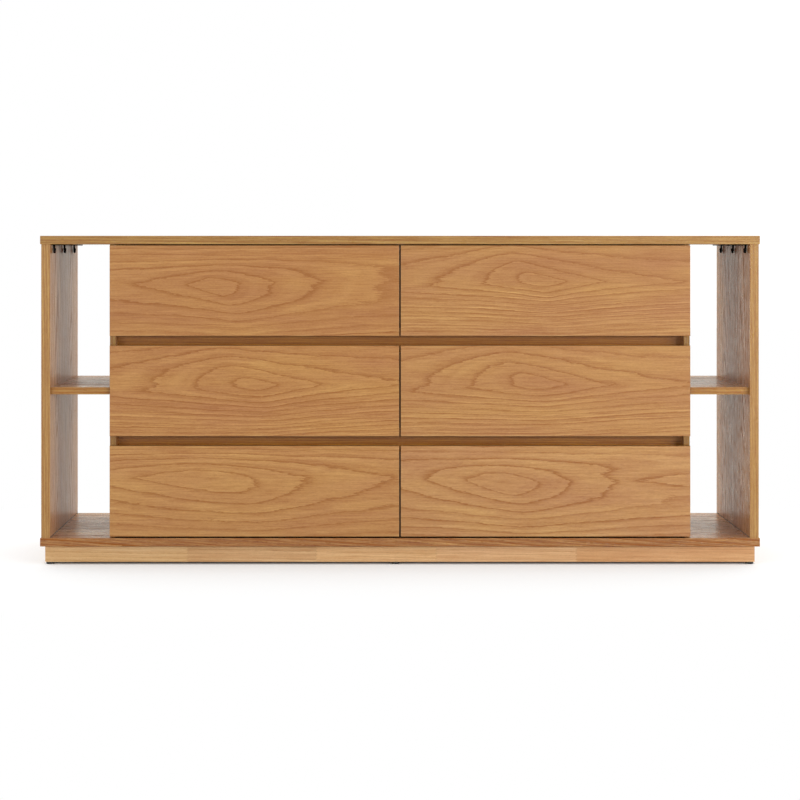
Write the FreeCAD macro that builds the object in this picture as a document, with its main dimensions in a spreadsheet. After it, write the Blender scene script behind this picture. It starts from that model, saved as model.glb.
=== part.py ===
import FreeCAD, Part
import math
import os

import Sketcher

# Low six-drawer dresser in oak veneer, with an open bay at each end.
# Millimetres, +Z up. The origin is on the floor under the middle of the piece,
# +X runs to the right seen from the front, and the drawers open towards -Y.

DOCUMENT = FreeCAD.newDocument("dresser")
SHEET = DOCUMENT.addObject("Spreadsheet::Sheet", "Sizes")

SIZES = {
    "overall_width": 1800,
    "overall_depth": 450,
    "panel_thickness": 21,
    "clear_height": 735,
    "edge_easing": 0.8,
    # feet and plinth
    "foot_height": 6,
    "foot_radius": 10,
    "foot_chamfer": 1,
    "foot_pin_radius": 2,
    "foot_pin_length": 14,
    "middle_foot_offset": 11,
    "plinth_height": 40,
    "plinth_board": 22,
    "plinth_end_inset": 11,
    "plinth_front_inset": 12,
    "cross_rail_spacing": 620,
    # upright panels
    "end_panel_thickness": 22,
    "end_panel_inset": 2.5,
    "front_setback": 3,
    "case_width": 1457,
    "case_side_thickness": 15,
    "case_side_setback": 24,
    "divider_thickness": 16,
    "divider_setback": 25,
    "back_thickness": 6,
    "back_rebate": 8,
    "back_recess": 3,
    # open bays
    "shelf_thickness": 18,
    "shelf_front_setback": 12,
    "shelf_back_setback": 5,
    # drawer fronts and the grip rails behind the finger gaps
    "drawer_front_height": 226.5,
    "drawer_front_thickness": 20,
    "drawer_front_side_inset": 2,
    "centre_gap": 4,
    "finger_gap": 24.5,
    "lowest_gap": 3.5,
    "grip_rail_setback": 51,
    "grip_rail_height": 63,
    "grip_rail_thickness": 18,
    # drawer boxes
    "box_rise": 30,
    "box_height": 160,
    "box_depth": 400,
    "box_board": 12,
    "box_bottom_thickness": 6,
    "box_bottom_rise": 12,
    "groove_depth": 6,
    "groove_clearance": 0.2,
    # ball-bearing slides, each made of three nested steel sections
    "slide_width": 12.7,
    "slide_length": 396,
    "slide_inset": 2,
    "slide_gauge": 1.2,
    "channel_height": 45,
    "channel_reach": 9.5,
    "middle_height": 38,
    "middle_reach": 7.6,
    "middle_standoff": 2.6,
    "middle_length": 380,
    "drawer_member_height": 31,
    "drawer_member_reach": 7.3,
    # hook rails under the top
    "hook_rail_width": 25,
    "hook_rail_length": 354,
    "hook_rail_thickness": 2.5,
    "hook_rail_setback": 21,
    "hook_pitch": 161,
    "hook_end_margin": 16,
    "hook_panel_gap": 4.5,
    "hook_rod_radius": 2.5,
    "hook_stem": 11.5,
    "hook_bend_radius": 6.5,
    "hook_tip_rise": 1.5,
    "hook_ball_radius": 3,
    # dowels and screws
    "dowel_radius": 4,
    "dowel_length": 30,
    "dowel_in_panel": 12,
    "dowel_in_shelf": 20,
    "dowel_in_side": 8,
    "dowel_in_board": 10,
    "dowel_spacing": 150,
    "shelf_dowel_spacing": 260,
    "plinth_dowel_spacing": 150,
    "drill_clearance": 0.1,
    "drill_overrun": 0.5,
    "screw_radius": 1.75,
    "screw_head_radius": 3.5,
    "screw_head_top_radius": 2.45,
    "rail_screw_length": 14,
    "rail_screw_head_height": 1.75,
    "back_screw_length": 16,
    "back_screw_head_height": 2,
    "back_screw_pitch": 165,
}

for row, (alias, value) in enumerate(SIZES.items(), start=1):
    SHEET.set(f"A{row}", alias)
    SHEET.set(f"B{row}", str(value))
    SHEET.setAlias(f"B{row}", alias)
DOCUMENT.recompute()

# Places worked out from the sizes, as expressions that the document evaluates.
FRONT_EDGE = "(-Sizes.overall_depth / 2)"
BACK_EDGE = "(Sizes.overall_depth / 2)"
PLINTH_TOP = "(Sizes.foot_height + Sizes.plinth_height)"
FLOOR_TOP = f"({PLINTH_TOP} + Sizes.panel_thickness)"
TOP_UNDERSIDE = f"({FLOOR_TOP} + Sizes.clear_height)"
CASE_HALF = "(Sizes.case_width / 2)"
OPENING_HALF = f"({CASE_HALF} - Sizes.case_side_thickness)"
OPENING_WIDTH = f"({OPENING_HALF} - Sizes.divider_thickness / 2)"
END_OUTER = "(Sizes.overall_width / 2 - Sizes.end_panel_inset)"
END_INNER = f"({END_OUTER} - Sizes.end_panel_thickness)"
BAY_WIDTH = f"({END_INNER} - {CASE_HALF})"
SHELF_LOW = f"({FLOOR_TOP} + (Sizes.clear_height - Sizes.shelf_thickness) / 2)"
BACK_OUTER = f"({BACK_EDGE} - Sizes.back_recess)"
BACK_INNER = f"({BACK_OUTER} - Sizes.back_thickness)"
FRONT_FACE = f"({FRONT_EDGE} + Sizes.front_setback)"
FRONT_BACK = f"({FRONT_FACE} + Sizes.drawer_front_thickness)"
GRIP_FACE = f"({FRONT_EDGE} + Sizes.grip_rail_setback)"
GRIP_BACK = f"({GRIP_FACE} + Sizes.grip_rail_thickness)"
ROW_PITCH = "(Sizes.drawer_front_height + Sizes.finger_gap)"
LOWEST_FRONT = f"({FLOOR_TOP} + Sizes.lowest_gap)"
GRIP_RISE = (
    "(Sizes.drawer_front_height + Sizes.finger_gap / 2 - Sizes.grip_rail_height / 2)"
)
SLIDE_START = f"({FRONT_BACK} + Sizes.slide_inset)"
BOX_WIDTH = f"({OPENING_WIDTH} - 2 * Sizes.slide_width)"
BOX_INNER_WIDTH = f"({BOX_WIDTH} - 2 * Sizes.box_board)"
GROOVE_HEIGHT = "(Sizes.box_bottom_thickness + Sizes.groove_clearance)"
PLINTH_HALF = "(Sizes.overall_width / 2 - Sizes.plinth_end_inset)"
PLINTH_DEPTH_HALF = "(Sizes.overall_depth / 2 - Sizes.plinth_front_inset)"
PLINTH_END_MIDDLE = f"({PLINTH_HALF} - Sizes.plinth_board / 2)"
PLINTH_INNER_HALF = f"({PLINTH_DEPTH_HALF} - Sizes.plinth_board)"

CROSS_RAILS = [f"({step} * Sizes.cross_rail_spacing)" for step in (-1, 0, 1)]

SIDES = {"left": -1, "right": 1}
ROWS = {"bottom": 0, "middle": 1, "top": 2}
X_AXIS = FreeCAD.Vector(1, 0, 0)
Y_AXIS = FreeCAD.Vector(0, 1, 0)
Z_AXIS = FreeCAD.Vector(0, 0, 1)
UPRIGHT = FreeCAD.Rotation()
ALONG_X = FreeCAD.Rotation(Y_AXIS, 90)
ALONG_Y = FreeCAD.Rotation(X_AXIS, -90)
BACKWARDS = FreeCAD.Rotation(X_AXIS, 90)

parts = []


def place(thing, corner, rotation=UPRIGHT):
    """Puts an object at three expressions, so that it follows the sheet."""
    thing.Placement = FreeCAD.Placement(FreeCAD.Vector(), rotation)
    for letter, expression in zip("xyz", corner):
        thing.setExpression(f".Placement.Base.{letter}", expression)
    return thing


def keep(thing, label):
    """Gives a finished sub-part its name and adds it to the list that is written out."""
    thing.Label = label
    parts.append(thing)
    return thing


def origin_plane(body, role):
    return next(p for p in body.Origin.OriginFeatures if p.Role == role)


def outline(body, role, steps):
    """Draws a closed square-cornered outline from its first corner, one step at a time.

    Each step is a compass word and a length. The last two steps close the outline, so
    they have no length.
    """
    sketch = body.newObject("Sketcher::SketchObject", f"{body.Name}_outline")
    sketch.AttachmentSupport = [(origin_plane(body, role), "")]
    sketch.MapMode = "FlatFace"
    heading = {"east": (1, 0), "west": (-1, 0), "north": (0, 1), "south": (0, -1)}
    seed = 10
    here = FreeCAD.Vector()
    for word, _ in steps:
        there = here + FreeCAD.Vector(*heading[word], 0) * seed
        sketch.addGeometry(Part.LineSegment(here, there), False)
        here = there
    sketch.addConstraint(Sketcher.Constraint("Coincident", 0, 1, -1, 1))
    for number, (word, length) in enumerate(steps):
        following = (number + 1) % len(steps)
        sketch.addConstraint(Sketcher.Constraint("Coincident", number, 2, following, 1))
        level = word in ("east", "west")
        sketch.addConstraint(
            Sketcher.Constraint("Horizontal" if level else "Vertical", number)
        )
        if length is None:
            continue
        ends = (1, 2) if word in ("east", "north") else (2, 1)
        kind = "DistanceX" if level else "DistanceY"
        datum = sketch.addConstraint(
            Sketcher.Constraint(kind, number, ends[0], number, ends[1], seed)
        )
        sketch.renameConstraint(datum, f"step_{number}")
        sketch.setExpression(f"Constraints.step_{number}", length)
    return sketch


def board(name, corner, steps, length, role="XY_Plane", eased=()):
    """A body: an outline padded to a length, its faces in `eased` rounded at their edges."""
    body = DOCUMENT.addObject("PartDesign::Body", name)
    sketch = outline(body, role, steps)
    pad = body.newObject("PartDesign::Pad", f"{name}_pad")
    pad.Profile = sketch
    pad.setExpression("Length", length)
    pad.Reversed = role == "XZ_Plane"
    sketch.Visibility = False
    body.Tip = pad
    if eased:
        DOCUMENT.recompute()
        fillet = body.newObject("PartDesign::Fillet", f"{name}_easing")
        fillet.Base = (pad, faces_towards(pad.Shape, eased))
        fillet.setExpression("Radius", "Sizes.edge_easing")
        body.Tip = fillet
    return place(body, corner)


def faces_towards(shape, directions):
    """Names of the flat faces whose outward normals are among the directions."""
    names = []
    for number, face in enumerate(shape.Faces, start=1):
        normal = face.normalAt(0, 0)
        if any(normal.dot(direction) > 0.99 for direction in directions):
            names.append(f"Face{number}")
    return names


def rectangle(width, depth):
    return [("east", width), ("north", depth), ("west", None), ("south", None)]


def turned(steps, side):
    """The same outline, drawn the other way round in X for the right-hand piece."""
    swap = {"east": "west", "west": "east"}
    if SIDES[side] < 0:
        return steps
    return [(swap.get(word, word), length) for word, length in steps]


def group(name, members):
    """One object that holds several separate solids."""
    compound = DOCUMENT.addObject("Part::Compound", name)
    compound.Links = members
    return compound


def rod(name, radius, length, start, rotation=UPRIGHT):
    cylinder = DOCUMENT.addObject("Part::Cylinder", name)
    cylinder.setExpression("Radius", radius)
    cylinder.setExpression("Height", length)
    return place(cylinder, start, rotation)


def cone(name, low_radius, high_radius, height, start, rotation=UPRIGHT):
    solid = DOCUMENT.addObject("Part::Cone", name)
    solid.setExpression("Radius1", low_radius)
    solid.setExpression("Radius2", high_radius)
    solid.setExpression("Height", height)
    return place(solid, start, rotation)


def joined(name, members):
    fuse = DOCUMENT.addObject("Part::MultiFuse", name)
    fuse.Shapes = members
    return fuse


def cut_from(blank, tool, label):
    """The blank with a tool's material taken away, and proof that something was."""
    cut = DOCUMENT.addObject("Part::Cut", f"{label}_cut")
    cut.Base = blank
    cut.Tool = tool
    DOCUMENT.recompute()
    if cut.Shape.Volume >= blank.Shape.Volume:
        raise RuntimeError(f"{label}: the tool takes nothing away")
    return keep(cut, label)


def signed(side, distance):
    """An expression on the left or the right of the middle plane."""
    return f"({SIDES[side]} * {distance})"


def low_corner(side, inner, outer):
    """The lower X of something that lies between two distances from the middle."""
    return f"(-{outer})" if side == "left" else inner


def drilling(name, radius, length, start, rotation, along):
    """The hole for a rod: a little wider, and a little deeper at both ends."""
    begin = list(start)
    begin["xyz".index(along)] = f"({start['xyz'.index(along)]} - Sizes.drill_overrun)"
    return rod(
        f"{name}_hole",
        f"{radius} + Sizes.drill_clearance",
        f"{length} + 2 * Sizes.drill_overrun",
        begin,
        rotation,
    )


def make_dowels():
    """Beech dowels: uprights to top and bottom, shelves, grip rails and the plinth."""
    dowels = []
    holes = []

    def add(start, rotation, along):
        name = f"dowel_{len(dowels) + 1}"
        size = ("Sizes.dowel_radius", "Sizes.dowel_length")
        dowels.append(rod(name, *size, start, rotation))
        holes.append(drilling(name, *size, start, rotation, along))

    uprights = ["0"]
    for side in SIDES:
        uprights.append(signed(side, f"({END_OUTER} - Sizes.end_panel_thickness / 2)"))
        uprights.append(signed(side, f"({CASE_HALF} - Sizes.case_side_thickness / 2)"))
    heights = [
        f"({FLOOR_TOP} - Sizes.dowel_in_panel)",
        f"({TOP_UNDERSIDE} + Sizes.dowel_in_panel - Sizes.dowel_length)",
    ]
    for across in uprights:
        for height in heights:
            for place_number in (-1, 0, 1):
                depth = f"({place_number} * Sizes.dowel_spacing)"
                add((across, depth, height), UPRIGHT, "z")

    shelf_middle = f"({SHELF_LOW} + Sizes.shelf_thickness / 2)"
    in_upright = "(Sizes.dowel_length - Sizes.dowel_in_shelf)"
    starts = [
        f"(-{END_INNER} - {in_upright})",
        f"(-{CASE_HALF} - Sizes.dowel_in_shelf)",
        f"({CASE_HALF} - {in_upright})",
        f"({END_INNER} - Sizes.dowel_in_shelf)",
    ]
    for across in starts:
        for half in (-0.5, 0.5):
            depth = f"({half} * Sizes.shelf_dowel_spacing)"
            add((across, depth, shelf_middle), ALONG_X, "x")

    # Two at each end of a grip rail, let into the case sides.
    rail_middle = f"({GRIP_FACE} + Sizes.grip_rail_thickness / 2)"
    starts = [
        f"(-{OPENING_HALF} - Sizes.dowel_in_side)",
        f"({OPENING_HALF} + Sizes.dowel_in_side - Sizes.dowel_length)",
    ]
    for gap in (0, 1):
        for share in (0.25, 0.75):
            height = f"({grip_low(gap)} + {share} * Sizes.grip_rail_height)"
            for across in starts:
                add((across, rail_middle, height), ALONG_X, "x")

    # Each cross member of the plinth, into the long boards and up into the bottom.
    board_middle = "(Sizes.foot_height + Sizes.plinth_height / 2)"
    rise = f"({PLINTH_TOP} + Sizes.dowel_in_panel - Sizes.dowel_length)"
    front_start = f"(-{PLINTH_INNER_HALF} - Sizes.dowel_in_board)"
    back_start = f"({PLINTH_INNER_HALF} + Sizes.dowel_in_board - Sizes.dowel_length)"
    for across in (f"(-{PLINTH_END_MIDDLE})", *CROSS_RAILS, PLINTH_END_MIDDLE):
        for depth in (front_start, back_start):
            add((across, depth, board_middle), ALONG_Y, "y")
        for half in (-0.5, 0.5):
            depth = f"({half} * Sizes.plinth_dowel_spacing)"
            add((across, depth, rise), UPRIGHT, "z")
    keep(group("dowels", dowels), "joint_dowels")
    return holes


def make_back_screws():
    """Pan-head screws through the back panel into the case sides and the divider."""
    screws = []
    holes = []
    shoulder = f"({OPENING_HALF} + Sizes.back_rebate / 2)"
    middle = f"({FLOOR_TOP} + Sizes.clear_height / 2)"
    for across in (f"(-{shoulder})", "0", shoulder):
        for step in (-2, -1, 0, 1, 2):
            name = f"back_screw_{len(screws) + 1}"
            height = f"({middle} + {step} * Sizes.back_screw_pitch)"
            start = (across, BACK_OUTER, height)
            size = ("Sizes.screw_radius", "Sizes.back_screw_length")
            shank = rod(f"{name}_shank", *size, start, BACKWARDS)
            head = cone(
                f"{name}_head",
                "Sizes.screw_head_top_radius",
                "Sizes.screw_head_radius",
                "Sizes.back_screw_head_height",
                (across, f"({BACK_OUTER} + Sizes.back_screw_head_height)", height),
                BACKWARDS,
            )
            screws.append(joined(name, [shank, head]))
            holes.append(
                rod(
                    f"{name}_hole",
                    "Sizes.screw_radius + Sizes.drill_clearance",
                    "Sizes.back_screw_length + Sizes.drill_overrun",
                    start,
                    BACKWARDS,
                )
            )
    keep(group("back_screws", screws), "back_panel_screws")
    return holes


def make_feet():
    """Round plastic glides, each with a pin driven up into the plinth."""
    feet = []
    holes = []
    half_depth = f"({PLINTH_DEPTH_HALF} - Sizes.plinth_board / 2)"
    places = (f"(-{PLINTH_END_MIDDLE})", "(-Sizes.middle_foot_offset)", PLINTH_END_MIDDLE)
    for depth in (f"(-{half_depth})", half_depth):
        for across in places:
            name = f"foot_{len(feet) + 1}"
            disc = rod(
                f"{name}_disc",
                "Sizes.foot_radius",
                "Sizes.foot_height - Sizes.foot_chamfer",
                (across, depth, "Sizes.foot_chamfer"),
            )
            sole = cone(
                f"{name}_sole",
                "Sizes.foot_radius - Sizes.foot_chamfer",
                "Sizes.foot_radius",
                "Sizes.foot_chamfer",
                (across, depth, "0"),
            )
            size = ("Sizes.foot_pin_radius", "Sizes.foot_pin_length")
            start = (across, depth, "Sizes.foot_height")
            pin = rod(f"{name}_pin", *size, start)
            feet.append(joined(name, [sole, disc, pin]))
            holes.append(drilling(f"{name}_pin", *size, start, UPRIGHT, "z"))
    keep(group("feet", feet), "glide_feet")
    return holes


def make_rail_screws():
    """Countersunk screws that hold each hook rail up under the top."""
    screws = []
    holes = []
    sinks = []
    rail_low = f"({TOP_UNDERSIDE} - Sizes.hook_rail_thickness)"
    for side in SIDES:
        across = signed(side, f"({END_INNER} - Sizes.hook_rail_width / 2)")
        for half in (0.5, 1.5):
            name = f"rail_screw_{len(screws) + 1}"
            depth = (
                f"({FRONT_EDGE} + Sizes.hook_rail_setback + Sizes.hook_end_margin"
                f" + {half} * Sizes.hook_pitch)"
            )
            start = (across, depth, rail_low)
            size = ("Sizes.screw_radius", "Sizes.rail_screw_length")
            shank = rod(f"{name}_shank", *size, start)
            head = cone(
                f"{name}_head",
                "Sizes.screw_head_radius",
                "Sizes.screw_radius",
                "Sizes.rail_screw_head_height",
                start,
            )
            screws.append(joined(name, [shank, head]))
            holes.append(drilling(name, *size, start, UPRIGHT, "z"))
            sinks.append(
                cone(
                    f"{name}_sink",
                    "Sizes.screw_head_radius + Sizes.drill_clearance",
                    "Sizes.screw_radius + Sizes.drill_clearance",
                    "Sizes.rail_screw_head_height",
                    start,
                )
            )
    keep(group("rail_screws", screws), "hook_rail_screws")
    return holes, sinks


def make_hook(name, across, depth):
    """A round steel hook: stem down from the rail, bend to the back, ball at the tip."""
    body = DOCUMENT.addObject("PartDesign::Body", name)
    path = body.newObject("Sketcher::SketchObject", f"{name}_path")
    path.AttachmentSupport = [(origin_plane(body, "YZ_Plane"), "")]
    path.MapMode = "FlatFace"
    stem = SIZES["hook_stem"]
    bend = SIZES["hook_bend_radius"]
    rise = SIZES["hook_tip_rise"]
    centre = FreeCAD.Vector(bend, -stem, 0)
    low_left = FreeCAD.Vector(0, -stem, 0)
    low_right = FreeCAD.Vector(2 * bend, -stem, 0)
    tip = low_right + FreeCAD.Vector(0, rise, 0)
    circle = Part.Circle(centre, Z_AXIS, bend)
    half_turn = Part.ArcOfCircle(circle, math.pi, 2 * math.pi)
    path.addGeometry(Part.LineSegment(FreeCAD.Vector(), low_left), False)
    path.addGeometry(half_turn, False)
    path.addGeometry(Part.LineSegment(low_right, tip), False)
    path.addConstraint(Sketcher.Constraint("Coincident", 0, 1, -1, 1))
    path.addConstraint(Sketcher.Constraint("Vertical", 0))
    path.addConstraint(Sketcher.Constraint("Tangent", 0, 2, 1, 1))
    path.addConstraint(Sketcher.Constraint("Tangent", 1, 2, 2, 1))
    path.addConstraint(Sketcher.Constraint("Vertical", 2))
    for constraint, label, expression in (
        (Sketcher.Constraint("DistanceY", 0, 2, 0, 1, stem), "stem", "Sizes.hook_stem"),
        (Sketcher.Constraint("Radius", 1, bend), "bend", "Sizes.hook_bend_radius"),
        (Sketcher.Constraint("DistanceY", 2, 1, 2, 2, rise), "rise", "Sizes.hook_tip_rise"),
    ):
        number = path.addConstraint(constraint)
        path.renameConstraint(number, label)
        path.setExpression(f"Constraints.{label}", expression)
    section = body.newObject("Sketcher::SketchObject", f"{name}_section")
    section.AttachmentSupport = [(origin_plane(body, "XY_Plane"), "")]
    section.MapMode = "FlatFace"
    section.addGeometry(
        Part.Circle(FreeCAD.Vector(), Z_AXIS, SIZES["hook_rod_radius"]), False
    )
    section.addConstraint(Sketcher.Constraint("Coincident", 0, 3, -1, 1))
    number = section.addConstraint(
        Sketcher.Constraint("Radius", 0, SIZES["hook_rod_radius"])
    )
    section.renameConstraint(number, "radius")
    section.setExpression("Constraints.radius", "Sizes.hook_rod_radius")
    pipe = body.newObject("PartDesign::AdditivePipe", f"{name}_pipe")
    pipe.Profile = section
    pipe.Spine = (path, [])
    body.Tip = pipe
    ball = body.newObject("PartDesign::AdditiveSphere", f"{name}_ball")
    ball.setExpression("Radius", "Sizes.hook_ball_radius")
    ball.setExpression(".Placement.Base.y", "2 * Sizes.hook_bend_radius")
    ball.setExpression(".Placement.Base.z", "Sizes.hook_tip_rise - Sizes.hook_stem")
    body.Tip = ball
    rail_low = f"({TOP_UNDERSIDE} - Sizes.hook_rail_thickness)"
    return place(body, (across, depth, rail_low))


def make_hook_rails(sinks, holes):
    """Flat steel rails under the top against the end panels, with three hooks each."""
    hooks = []
    drill = group("rail_drillings", sinks + holes)
    for side in SIDES:
        low_x = low_corner(side, f"({END_INNER} - Sizes.hook_rail_width)", END_INNER)
        blank = board(
            f"{side}_rail_blank",
            (
                low_x,
                f"({FRONT_EDGE} + Sizes.hook_rail_setback)",
                f"({TOP_UNDERSIDE} - Sizes.hook_rail_thickness)",
            ),
            rectangle("Sizes.hook_rail_width", "Sizes.hook_rail_length"),
            "Sizes.hook_rail_thickness",
        )
        cut_from(blank, drill, f"{side}_hook_rail")
        across = signed(side, f"({END_INNER} - Sizes.hook_panel_gap)")
        for step in (0, 1, 2):
            depth = (
                f"({FRONT_EDGE} + Sizes.hook_rail_setback + Sizes.hook_end_margin"
                f" + {step} * Sizes.hook_pitch)"
            )
            hooks.append(make_hook(f"{side}_hook_{step + 1}", across, depth))
    keep(group("hooks", hooks), "hanging_hooks")


def make_case(holes):
    """Top, bottom, end panels, case sides, divider and back of the carcass."""
    drill = group("carcass_drillings", holes)
    around = (X_AXIS, -X_AXIS, Y_AXIS, -Y_AXIS)
    for label, low_z in (("top_panel", TOP_UNDERSIDE), ("bottom_panel", PLINTH_TOP)):
        blank = board(
            f"{label}_blank",
            ("(-Sizes.overall_width / 2)", FRONT_EDGE, low_z),
            rectangle("Sizes.overall_width", "Sizes.overall_depth"),
            "Sizes.panel_thickness",
            eased=around,
        )
        cut_from(blank, drill, label)

    for side in SIDES:
        end = board(
            f"{side}_end_blank",
            (low_corner(side, END_INNER, END_OUTER), FRONT_FACE, FLOOR_TOP),
            rectangle(
                "Sizes.end_panel_thickness", "Sizes.overall_depth - Sizes.front_setback"
            ),
            "Sizes.clear_height",
        )
        cut_from(end, drill, f"{side}_end_panel")
        # The case side is drawn from its outer front corner, with the rebate that
        # takes the back panel at its inner back corner.
        depth = "(Sizes.overall_depth - Sizes.case_side_setback)"
        steps = [
            ("east", "Sizes.case_side_thickness"),
            ("north", f"{depth} - Sizes.back_thickness - Sizes.back_recess"),
            ("west", "Sizes.back_rebate"),
            ("north", "Sizes.back_thickness + Sizes.back_recess"),
            ("west", None),
            ("south", None),
        ]
        upright = board(
            f"{side}_side_blank",
            (
                signed(side, CASE_HALF),
                f"({FRONT_EDGE} + Sizes.case_side_setback)",
                FLOOR_TOP,
            ),
            turned(steps, side),
            "Sizes.clear_height",
        )
        cut_from(upright, drill, f"{side}_case_side")

    # The divider is drawn in the YZ plane, notched in front where the rails cross it.
    start = f"({FRONT_EDGE} + Sizes.divider_setback)"
    notch = f"({GRIP_BACK} - {start})"
    steps = [
        ("east", f"{BACK_INNER} - {start}"),
        ("north", "Sizes.clear_height"),
        ("west", f"{BACK_INNER} - {start}"),
        ("south", f"{TOP_UNDERSIDE} - {grip_low(1)} - Sizes.grip_rail_height"),
        ("east", notch),
        ("south", "Sizes.grip_rail_height"),
        ("west", notch),
        ("south", f"{ROW_PITCH} - Sizes.grip_rail_height"),
        ("east", notch),
        ("south", "Sizes.grip_rail_height"),
        ("west", None),
        ("south", None),
    ]
    divider = board(
        "divider_blank",
        ("(-Sizes.divider_thickness / 2)", start, FLOOR_TOP),
        steps,
        "Sizes.divider_thickness",
        "YZ_Plane",
    )
    cut_from(divider, drill, "centre_divider")

    back_half = f"({OPENING_HALF} + Sizes.back_rebate)"
    back = board(
        "back_blank",
        (f"(-{back_half})", BACK_INNER, FLOOR_TOP),
        rectangle(f"2 * {back_half}", "Sizes.back_thickness"),
        "Sizes.clear_height",
    )
    cut_from(back, drill, "back_panel")


def grip_low(gap):
    """The lower edge of the rail behind the first or the second finger gap."""
    return f"({LOWEST_FRONT} + {gap} * {ROW_PITCH} + {GRIP_RISE})"


def make_grip_rails(holes):
    """Rails across the case, set back behind the finger gaps."""
    drill = group("grip_rail_drillings", holes)
    for gap, name in enumerate(("lower_grip_rail", "upper_grip_rail")):
        rail = board(
            f"{name}_blank",
            (f"(-{OPENING_HALF})", GRIP_FACE, grip_low(gap)),
            rectangle(f"2 * {OPENING_HALF}", "Sizes.grip_rail_thickness"),
            "Sizes.grip_rail_height",
        )
        cut_from(rail, drill, name)


def make_shelves(holes):
    drill = group("shelf_drillings", holes)
    for side in SIDES:
        shelf = board(
            f"{side}_shelf_blank",
            (
                low_corner(side, CASE_HALF, END_INNER),
                f"({FRONT_EDGE} + Sizes.shelf_front_setback)",
                SHELF_LOW,
            ),
            rectangle(
                BAY_WIDTH,
                "Sizes.overall_depth - Sizes.shelf_front_setback - Sizes.shelf_back_setback",
            ),
            "Sizes.shelf_thickness",
        )
        cut_from(shelf, drill, f"{side}_open_shelf")


def make_plinth(holes):
    """Recessed frame: long boards front and back, end boards and cross rails between."""
    drill = group("plinth_drillings", holes)
    lows = {
        "plinth_front_board": f"(-{PLINTH_DEPTH_HALF})",
        "plinth_back_board": PLINTH_INNER_HALF,
    }
    for label, low_y in lows.items():
        blank = board(
            f"{label}_blank",
            (f"(-{PLINTH_HALF})", low_y, "Sizes.foot_height"),
            rectangle(f"2 * {PLINTH_HALF}", "Sizes.plinth_board"),
            "Sizes.plinth_height",
        )
        cut_from(blank, drill, label)

    def across(name, middle):
        return board(
            name,
            (
                f"({middle} - Sizes.plinth_board / 2)",
                f"(-{PLINTH_INNER_HALF})",
                "Sizes.foot_height",
            ),
            rectangle("Sizes.plinth_board", f"2 * {PLINTH_INNER_HALF}"),
            "Sizes.plinth_height",
        )

    ends = [
        across("plinth_left_end", f"(-{PLINTH_END_MIDDLE})"),
        across("plinth_right_end", PLINTH_END_MIDDLE),
    ]
    cut_from(group("plinth_ends", ends), drill, "plinth_end_boards")
    rails = [
        across(f"cross_rail_{number}", middle)
        for number, middle in enumerate(CROSS_RAILS, start=1)
    ]
    cut_from(group("cross_rails", rails), drill, "plinth_cross_rails")


def slide_section(name, corner, side, height, reach, length, closed="wall"):
    """A C-shaped steel section, open to the drawer box or, on it, to the case wall.

    `side` is the side of the drawer opening that the slide is on. The section is drawn
    from the lower corner of its web.
    """
    web = "Sizes.slide_gauge"
    steps = [
        ("east", reach),
        ("north", web),
        ("west", f"{reach} - {web}"),
        ("north", f"{height} - 2 * {web}"),
        ("east", f"{reach} - {web}"),
        ("north", web),
        ("west", None),
        ("south", None),
    ]
    away = side if closed == "wall" else {"left": "right", "right": "left"}[side]
    return board(name, corner, turned(steps, away), length, "XZ_Plane")


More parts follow.
